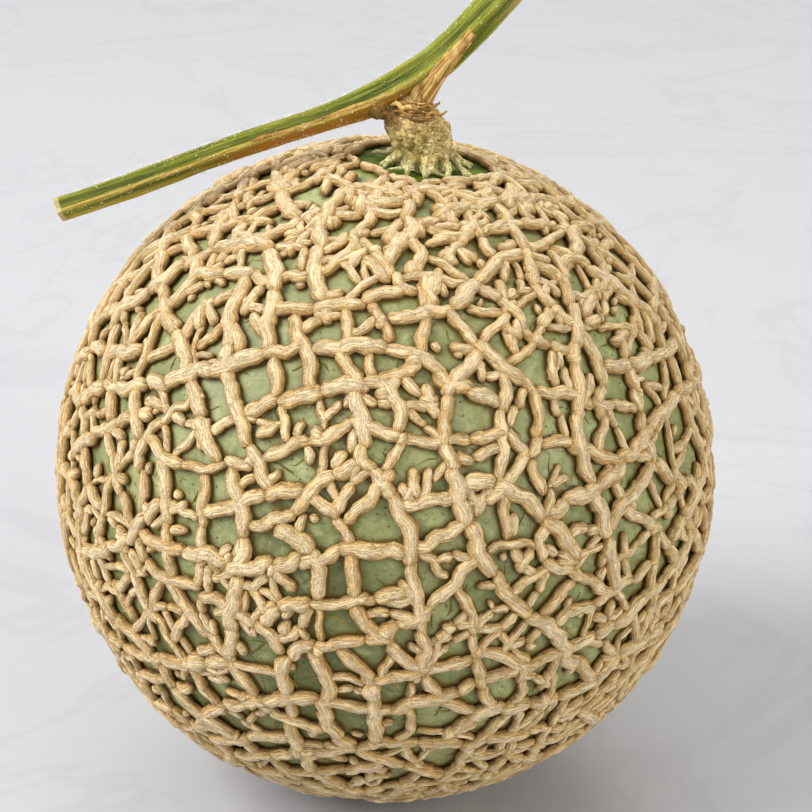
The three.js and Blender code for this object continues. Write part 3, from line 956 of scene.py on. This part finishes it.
# Vine: the main stem that the fruit hung from, cut short on both sides. It is green and ridged lengthwise,
# tan along one ridge of its left arm and brown underneath it near the stalk, and pale where it is cut.
STALK_GAP = 0.3
VINE_RADIUS = 3.7
VINE_RIDGES = 5
VINE_SIDES = 64
VINE_STEP = 0.5
VINE_JUNCTION = 0.6
LOOP_RADIUS = 4
VINE_ROUTE = [
    (-77.0, -3.0, -17.4),
    (-60.0, -2.4, -9.5),
    (-39.5, -1.6, 0.7),
    (-19.0, -0.6, 9.9),
    (-7.2, 0.0, 16.4),
    (0.4, 0.4, 22.6),
    (8.4, 1.2, 32.2),
    (19.8, 2.6, 47.4),
    (30.4, 4.0, 61.0),
]
STALK_BASE = FRUIT_CENTRE + STEM_AXIS * (BASIN_FLOOR + STALK_GAP)
STALK_SIDE = np.array([math.cos(STEM_LEAN), 0, -math.sin(STEM_LEAN)])
STALK_FRONT = np.array([0.0, 1.0, 0.0])


def from_stalk(points):
    """Points in the stalk's own frame, whose height runs up the stalk, to points in the fruit's."""
    points = np.asarray(points, float)
    return STALK_BASE + points @ np.stack([STALK_SIDE, STALK_FRONT, STEM_AXIS])


def frames_along(route):
    """Directions ahead, upward and sideways along a route, turned no more than it bends."""
    ahead = unit(np.gradient(route, axis=0))
    up = np.empty_like(route)
    up[0] = unit(np.array([0, 0, 1]) - ahead[0] * ahead[0, 2])
    for i in range(1, len(route)):
        up[i] = unit(up[i - 1] - ahead[i] * (up[i - 1] @ ahead[i]))
    return ahead, up, np.cross(ahead, up)


vine_route = curve_through(from_stalk(VINE_ROUTE), VINE_STEP)
vine_along = length_along(vine_route)
vine_share = vine_along / vine_along[-1]
vine_ahead, vine_up, vine_side = frames_along(vine_route)


def vine_radius(share, turn):
    """The vine's radius at a share of its length. Turn 0 faces the viewer, and a quarter turn is up."""
    off = share - VINE_JUNCTION
    left = 0.3 * (1 - np.exp(-((off / 0.12) ** 2)))
    right = 0.12 * off / (1 - VINE_JUNCTION)
    taper = 1 - np.where(off < 0, left, right)
    drift = 0.5 * np.sin(5 * share) + 0.25 * np.sin(17 * share + 1)
    ribs = 0.105 * np.cos(VINE_RIDGES * turn + drift) + 0.03 * np.cos(2 * VINE_RIDGES * turn - 1 + 2 * drift)
    strands = 0.012 * np.sin(23 * turn + 9 * share) + 0.01 * np.sin(37 * turn - 14 * share)
    lumps = 0.02 * np.sin(31 * share + 2 * turn) + 0.012 * np.sin(83 * share - 3 * turn)
    return VINE_RADIUS * taper * (0.98 + ribs + strands + lumps)


def rings_round(route, up, side, turn, radii):
    """Rings of corners round a route, from their radii."""
    outward = side[:, None] * np.cos(turn)[:, None] + up[:, None] * np.sin(turn)[:, None]
    return route[:, None] + outward * radii


turn = turns(VINE_SIDES)
radii = vine_radius(vine_share[:, None], turn)
vine_rings = rings_round(vine_route, vine_up, vine_side, turn, radii[..., None])
ribs = (radii / radii.mean(axis=1, keepdims=True) - 0.85) / 0.3


def cut_end(rings, ahead, inner_steps):
    """Rings that close a cut end: a rounded rim, and a face that is sunk a little towards its pith."""
    middle = rings.mean(axis=0)
    return np.array([middle + (rings - middle) * share + ahead * depth for share, depth in inner_steps])


CUT_FACE = [(0.3, 0.7), (0.62, 0.5), (0.76, 0.0), (0.88, -0.35), (0.97, -0.22)]
left_face = cut_end(vine_rings[0], vine_ahead[0], CUT_FACE)
right_face = cut_end(vine_rings[-1], -vine_ahead[-1], CUT_FACE)[::-1]
vine_shape = np.concatenate([left_face, vine_rings, right_face])
face_rings = len(CUT_FACE)
face_ribs = np.full((face_rings, VINE_SIDES), 0.5)
full_ribs = np.concatenate([face_ribs, ribs, face_ribs])
cut = np.zeros(len(vine_shape))
cut[: face_rings + 2] = 1
cut[-face_rings - 2 :] = 1
full_along = np.concatenate([np.zeros(face_rings), vine_along, np.full(face_rings, vine_along[-1])])
shape = full_ribs.shape
loop_parts = [full_along[:, None], LOOP_RADIUS * np.cos(turn), LOOP_RADIUS * np.sin(turn)]
vine_loop = np.stack([np.broadcast_to(part, shape) for part in loop_parts], axis=-1)
vine_shell = Shell()
full_cut = cut[:, None] + 0 * full_ribs
vine_shell.add_tube(vine_shape, loop=vine_loop, rib=np.clip(full_ribs, 0, 1), cut=full_cut)

sheath = Finish("ridged_vine", Specular_IOR_Level=0.3)
loop = sheath.trait("loop", "Vector")
rib = sheath.trait("rib")
cut_mask = sheath.trait("cut")
along = sheath.part(loop, 0)
to_viewer = sheath.part(loop, 1)
upward = sheath.part(loop, 2)
long_streaks = sheath.streaks(loop, (0.035, 0.9, 0.9), 4, 0.65)
hair_streaks = sheath.streaks(loop, (0.12, 3.2, 3.2), 3, 0.6)
mottle = sheath.noise(loop, 0.35, 3)
tone = sheath.layered(sheath.blend(long_streaks, 0.36, 0.64, (74, 86, 4), (136, 142, 32)), [
    # Painted light: the ridges are painted lighter as a highlight, and the grooves between them darker as
    # shade.
    (rib, 0.55, 1.0, 0.6, (172, 170, 54)),
    (rib, 0.42, 0.05, 0.7, (58, 74, 2)),
    (hair_streaks, 0.53, 0.7, 0.5, (188, 190, 92)),
    (hair_streaks, 0.45, 0.3, 0.5, (54, 70, 2)),
])
on_left = sheath.between(along, 86, 76)
off_ridge = (upward - 0.35 + 1.6 * (mottle - 0.5)).absolute()
golden = sheath.between(off_ridge, 1.0, 0.3) * sheath.between(to_viewer, 0, 1.5) * on_left
gold = sheath.blend(hair_streaks, 0.35, 0.65, (150, 108, 22), (216, 184, 92))
tone = sheath.mix(golden * sheath.between(mottle, 0.3, 0.6, 0.5, 0.9), tone, gold)
brown_reach = sheath.between(along, 24, 50) * on_left
brown = sheath.between(upward + 1.5 * (long_streaks - 0.5), -0.1, -1.1) * brown_reach
scorched = sheath.mix(hair_streaks, linear(132, 78, 8), linear(214, 150, 52))
tone = sheath.mix(brown * 0.95, tone, scorched)
low_edge = sheath.between(upward, -1.9, -3.2)
tan_edge = low_edge * sheath.between(along, 100, 116)
edge_gold = low_edge * sheath.between(along, 40, 20)
tone = sheath.mix(tan_edge * 0.75, tone, linear(222, 192, 116))
tone = sheath.mix(edge_gold * 0.6, tone, linear(206, 184, 70))
fresh_cut = sheath.blend(hair_streaks, 0.4, 0.6, (196, 180, 112), (232, 216, 160))
tone = sheath.mix(cut_mask * 0.85, tone, fresh_cut)
sheath.colour(tone)
sheath.roughness(0.4 + 0.25 * long_streaks)
sheath.bump(long_streaks * 0.5 + hair_streaks * 0.6, 0.0013)
vine_shell.finish("vine", sheath, "vine", "stem")


# Hairs: short stiff white bristles that stand on the vine's ridges. Each is a thin spike with three sides,
# and leans a little along the vine.
HAIR_COUNT = 1000
HAIR_RADIUS = 0.09
HAIR_SINK = 0.1
HAIR_CORNERS = (0, 2.094, 4.189)

hairs = Shell()
for _ in range(HAIR_COUNT):
    station = int(rng.integers(4, len(vine_route) - 4))
    spot = (rng.integers(VINE_RIDGES) + 0.5 * rng.normal(0, 0.35)) * FULL_TURN / VINE_RIDGES
    ray = vine_side[station] * math.cos(spot) + vine_up[station] * math.sin(spot)
    root = vine_route[station] + ray * (float(vine_radius(vine_share[station], spot)) - HAIR_SINK)
    point = unit(ray + 0.45 * vine_ahead[station] * rng.normal() + 0.2 * rng.normal(size=3))
    length = rng.uniform(0.4, 1.15)
    first = unit(np.cross(point, vine_ahead[station]))
    second = np.cross(point, first)
    thick = HAIR_RADIUS * rng.uniform(0.7, 1.3)
    foot = [root + thick * (math.cos(a) * first + math.sin(a) * second) for a in HAIR_CORNERS]
    tip = root + point * length
    hairs.add(np.array([*foot, tip]), np.empty((0, 4)), [[0, 1, 3], [1, 2, 3], [2, 0, 3], [0, 2, 1]])

bristle = Finish("white_bristle", Roughness=0.5, Base_Color=linear(244, 244, 214))
hairs.finish("vine_hairs", bristle, "vine", "stem")


# Stalk: a wrinkled pale knob between the vine and the fruit, which spreads over the basin's floor in fleshy
# roots. It is modelled as overlapping forms, melted together and smoothed, then wrinkled.
STALK_SIDES = 40
STALK_VOXEL = 0.34
STALK_OUTLINE = [
    (6.8, 0.0),
    (6.2, 0.9),
    (5.5, 2.2),
    (6.0, 4.0),
    (7.0, 6.2),
    (6.8, 8.6),
    (5.7, 10.8),
    (4.5, 13.0),
    (3.2, 15.2),
    (1.4, 16.6),
]
ROOT_COUNT = 15
ROOT_STEP = 0.8

stalk_shell = Shell()
outline = curve_through([(radius, 0, up) for radius, up in STALK_OUTLINE], 0.6)
turn = turns(STALK_SIDES)
level = outline[:, 2, None]
radius = outline[:, 0, None] * (1 + 0.05 * np.sin(5 * turn + 0.4 * level))
radius = radius * (1 + 0.03 * np.sin(9 * turn - 0.9 * level))
shift = 0.5 - 0.26 * level
knob = np.stack([radius * np.cos(turn) + shift, -radius * np.sin(turn), level + 0 * turn], axis=-1)
knob = from_stalk(knob)
stalk_shell.add_tube(knob[:, ::-1], knob[0].mean(axis=0), knob[-1].mean(axis=0))


def add_round_tube(shell, points, step, sides, radius_at, **traits):
    """A round tube through points, whose radius is a function of the share of its length."""
    route = curve_through(points, step)
    lengths = length_along(route)
    share = lengths / lengths[-1]
    _, up, side = frames_along(route)
    turn = turns(sides)
    rings = rings_round(route, up, side, turn, np.asarray(radius_at(share))[:, None, None])
    whole = {name: np.broadcast_to(value, rings.shape[:2]).copy() for name, value in traits.items()}
    shell.add_tube(rings, **whole)


for number in range(ROOT_COUNT):
    angle = (number + rng.uniform(-0.25, 0.25)) / ROOT_COUNT * FULL_TURN
    reach = rng.uniform(10.0, 12.6)
    sway = rng.uniform(-0.3, 0.3)
    thick = rng.uniform(0.6, 1.0)
    stations = [(5.4, 3.6, 0), (7.0, 2.4, 0.15), (8.6, 1.3, 0.5), (reach - 1, 0.7, 0.9), (reach, 0.3, 1)]
    points = [
        (out * math.cos(angle + sway * bend) + 0.6, out * math.sin(angle + sway * bend), up)
        for out, up, bend in stations
    ]
    add_round_tube(stalk_shell, from_stalk(points), ROOT_STEP, 8, lambda share: thick * (1 - 0.5 * share**2))
    if number % 2 == 0:
        fork = angle + rng.choice([-1, 1]) * 0.28
        twig = [points[2], ((reach - 1) * math.cos(fork), (reach - 1) * math.sin(fork), 0.5)]
        twig.append(((reach + 0.6) * math.cos(fork * 1.02), (reach + 0.6) * math.sin(fork * 1.02), 0.25))
        add_round_tube(stalk_shell, from_stalk(twig), ROOT_STEP, 8, lambda share: 0.6 * (1 - 0.5 * share))

FILLET_ROUTE = [
    (-17.0, -0.4, 10.2),
    (-12.0, -0.3, 12.4),
    (-8.0, -0.1, 12.0),
    (-5.4, 0.0, 9.6),
    (-4.2, 0.0, 6.0),
]
NECK_ROUTE = [(-3.0, 0.4, 10.0), (-2.4, 0.8, 15.0), (0.0, 0.9, 20.0), (2.6, 1.2, 24.0)]
JOINT_SIDES = 24


def fillet_radius(share):
    return 1.4 + 1.7 * np.sin(math.pi * share**0.8)


add_round_tube(stalk_shell, from_stalk(FILLET_ROUTE), ROOT_STEP, JOINT_SIDES, fillet_radius)
add_round_tube(stalk_shell, from_stalk(NECK_ROUTE), ROOT_STEP, JOINT_SIDES, lambda share: 3.5 - 1.5 * share)

pith = Finish("pale_stalk", Roughness=0.5, Specular_IOR_Level=0.4)
stalk = stalk_shell.finish("stalk", pith, "vine", "stem")
bpy.ops.object.select_all(action="DESELECT")
stalk.select_set(True)
bpy.context.view_layer.objects.active = stalk
melt = stalk.modifiers.new("melt", "REMESH")
melt.mode = "VOXEL"
melt.voxel_size = STALK_VOXEL / METRE
melt.use_smooth_shade = True
bpy.ops.object.modifier_apply(modifier=melt.name)
soften = stalk.modifiers.new("soften", "SMOOTH")
soften.factor = 0.5
soften.iterations = 5
bpy.ops.object.modifier_apply(modifier=soften.name)

corners = read_vectors(stalk.data.vertices, "co") * METRE
normals = read_vectors(stalk.data.vertex_normals, "vector")
own = (corners - STALK_BASE) @ np.stack([STALK_SIDE, STALK_FRONT, STEM_AXIS]).T
knob_share = smooth_step(own[:, 2], 1.5, 4) * (1 - smooth_step(own[:, 2], 15, 18))
around = np.arctan2(own[:, 1], own[:, 0])
folds = np.array([noise.noise(Vector((p[0] * 0.5, p[1] * 0.5, p[2] * 0.3))) for p in own])
creases = np.array([noise.noise(Vector((p[0] * 0.8 + 9, p[1] * 0.8, p[2] * 1.5 + p[0] * 0.5))) for p in own])
lumps = np.array([noise.noise(Vector(p * 1.1 + 30)) for p in own])
upper = smooth_step(own[:, 2], 5, 10)
relief = 0.65 * folds * knob_share + 0.25 * lumps * (0.4 + 0.6 * knob_share)
relief -= 0.38 * np.exp(-((creases / 0.12) ** 2)) * knob_share * (0.35 + 0.65 * upper)
bands_round = np.sin(2.6 * own[:, 2] + 3.2 * folds + 1.5 * np.sin(2 * around))
relief += 0.09 * bands_round * knob_share
corners = corners + normals * relief[:, None]
stalk.data.vertices.foreach_set("co", (corners / METRE).ravel())
add_trait(stalk.data, "own", own)
add_trait(stalk.data, "fold", folds + 0.5 * lumps)
stalk.data.shade_smooth()

own_place = pith.trait("own", "Vector")
rightward = pith.part(own_place, 0)
rise = pith.part(own_place, 2)
fold = pith.trait("fold")
grain = pith.streaks(own_place, (2.2, 2.2, 0.8), 4, 0.6, 0.4)
lines = (pith.streaks(own_place, (0.5, 0.5, 0.9), 3, 0.6, 1.2) - 0.5).absolute()
cloud = pith.noise(own_place, 0.16, 3)
flesh = pith.layered(pith.blend(cloud, 0.35, 0.65, (186, 164, 92), (224, 202, 136)), [
    # Painted light: darker painted shade in the hollows of the folds, and a lighter painted highlight on
    # their raised parts.
    (fold, 0.0, -0.35, 0.5, (132, 114, 46)),
    (fold, 0.1, 0.45, 0.35, (214, 196, 136)),
])
on_knob = pith.between(rise, 2.0, 4.5)
# Painted shade: dark lines in the knob's fine bumped creases.
flesh = pith.mix(pith.between(lines, 0.035, 0.0) * on_knob * 0.45, flesh, linear(112, 92, 36))
flesh = pith.layered(flesh, [(rise + 2 * cloud, 8.5, 12.5, 0.75, (204, 170, 104))])
roots = pith.blend(grain, 0.35, 0.65, (168, 164, 92), (234, 222, 166))
flesh = pith.mix(pith.between(rise, 3.4, 1.8), flesh, roots)
flesh = pith.layered(flesh, [(grain, 0.46, 0.32, 0.2, (132, 110, 44))])
under_arm = pith.between(rightward + 2 * (grain - 0.5), -4.6, -6.6) * pith.between(rise, 7, 9.5)
flesh = pith.mix(under_arm * 0.85, flesh, pith.mix(grain, linear(92, 62, 14), linear(158, 120, 54)))
green_neck = pith.between(rise + 3 * (cloud - 0.5), 14.5, 17) * pith.between(rightward, 2.5, 0.5)
flesh = pith.mix(green_neck * 0.9, flesh, pith.mix(grain, linear(58, 74, 6), linear(120, 130, 34)))
pith.colour(flesh)
pith.bump(grain * 0.5 + cloud * 0.4 + pith.between(lines, 0.0, 0.05) * 0.5, 0.0006)


# Withered strip: the dried stalk of a leaf, split into fibres, which lies along the right arm. Frayed fibres
# and folds of torn bark lie round its foot, and flakes of bark on the vine near it, all of one dry stuff.
STRIP_ROUTE = [
    (-0.6, -2.2, 12.4),
    (-0.8, -2.6, 15.3),
    (0.6, -3.1, 19.2),
    (3.2, -3.6, 24.2),
    (8.4, -4.0, 32.4),
]
STRIP_FIBRES = 17
STRIP_STEP = 0.6
BARK_STEP = 0.5
BARK_SIDES = 10
FRAY_COUNT = 60
FLAKE_COUNT = 9

straw = Shell()
strip_line = curve_through(STRIP_ROUTE, STRIP_STEP)
for number in range(STRIP_FIBRES):
    spread = (number / (STRIP_FIBRES - 1) - 0.5) * 2
    length_share = 1 - 0.12 * spread**2 - rng.uniform(0, 0.03)
    line = strip_line[: max(8, int(len(strip_line) * length_share))]
    share = np.linspace(0, 1, len(line)) * length_share
    half = 0.9 + 1.9 * (1 - share) ** 2
    crown = -0.9 * math.cos(spread * 1.3) * (1 - 0.4 * share)
    offset = np.stack([spread * half * 0.76, crown, -spread * half * 0.6], axis=1)
    offset[:, 0] -= 1.4 * (1 - share) ** 3
    wobble = 0.12 * np.sin(share[:, None] * 14 + rng.uniform(0, 6, 3))
    thick = rng.uniform(0.4, 0.62)
    points = from_stalk((line + offset + wobble)[::3])
    tone = rng.uniform(0, 1)
    add_round_tube(straw, points, STRIP_STEP, 8, lambda share: thick * (1 - 0.35 * share**3), fibre_tone=tone)

for _ in range(FRAY_COUNT):
    angle = rng.uniform(-3.0, -0.7)
    level = rng.uniform(11.6, 14.8)
    ring = rng.uniform(4.2, 4.9)
    sweep = rng.choice([-1, 1]) * rng.uniform(0.25, 0.75)
    climb = rng.uniform(-1.3, 0.6)
    points = []
    for share in (0, 0.35, 0.7, 1.0):
        bulge = ring + 0.5 * math.sin(math.pi * share) + (0.35 if share == 1 else 0) * rng.random()
        ahead = angle + sweep * share
        points.append((bulge * math.cos(ahead) - 2.1, bulge * math.sin(ahead), level + climb * share))
    thick = rng.uniform(0.12, 0.32)
    tone = rng.uniform(-0.4, 0.9)
    points = from_stalk(points)
    add_round_tube(straw, points, STRIP_STEP, 6, lambda share: thick * (1 - 0.5 * share), fibre_tone=tone)


def add_bark(points, thick, tone, start, span):
    """A roll of dry bark, thickest in its middle: its outline is part of a sine's arch."""

    def radius_at(share):
        return thick * np.sin(math.pi * (start + span * share)) ** 0.6

    add_round_tube(straw, points, BARK_STEP, BARK_SIDES, radius_at, fibre_tone=tone)


BARK_FOLDS = [
    (
        0.55,
        0.75,
        [(-8.4, -2.4, 12.9), (-6.8, -3.6, 14.0), (-5.4, -4.1, 13.2), (-4.2, -4.7, 13.9), (-2.9, -4.9, 13.1)],
    ),
    (0.36, 0.2, [(-7.6, -2.9, 12.0), (-5.7, -4.1, 12.5), (-4.1, -4.9, 12.0), (-2.7, -5.2, 12.5)]),
    (0.3, -0.6, [(-5.6, -4.3, 11.4), (-3.6, -5.2, 11.3), (-1.6, -5.6, 11.2), (0.4, -5.6, 11.5)]),
    (0.4, 0.3, [(-0.6, -5.2, 12.2), (1.0, -5.3, 13.3), (2.6, -4.9, 12.8), (4.0, -4.0, 13.6)]),
]
for thick, tone, points in BARK_FOLDS:
    add_bark(from_stalk(points), thick, tone, 0.06, 0.88)
KNOT_TURN = np.linspace(0.4, 1.9 * math.pi, 9)
knot = [(-2.3 + 0.8 * math.cos(a), -5.1 - 0.05 * a, 12.7 + 0.6 * math.sin(a)) for a in KNOT_TURN]
add_round_tube(straw, from_stalk(knot), 0.4, 8, lambda share: 0.45 * (1 - 0.5 * share), fibre_tone=-0.5)

for number in range(FLAKE_COUNT):
    first = int(len(vine_route) * (0.33 + 0.024 * number + rng.uniform(-0.005, 0.005)))
    stations = np.arange(first, first + int(rng.integers(6, 15)), 2)
    spot = 0.12 + rng.uniform(-0.1, 0.1)
    rays = vine_side[stations] * math.cos(spot) + vine_up[stations] * math.sin(spot)
    depth = vine_radius(vine_share[stations], spot) - 0.25
    thick = rng.uniform(0.3, 0.62)
    points = vine_route[stations] + rays * depth[:, None]
    add_bark(points, thick, rng.uniform(-0.1, 0.5), 0.05, 0.9)

dry = Finish("dry_straw", Roughness=0.7, Specular_IOR_Level=0.3)
tone = dry.trait("fibre_tone")
grain = dry.streaks(dry.place(), (700, 700, 220), 4, 0.65)
straw_colour = dry.layered(dry.blend(tone, 0.1, 0.9, (148, 108, 44), (210, 176, 108)), [
    (grain, 0.5, 0.32, 0.75, (98, 64, 18)),
    (grain, 0.55, 0.75, 0.4, (232, 204, 144)),
])
dry.colour(dry.mix(dry.between(tone, 0, -0.8), straw_colour, linear(84, 54, 18)))
dry.bump(grain, 0.0004)
straw.finish("withered_strip", dry, "vine", "stem")
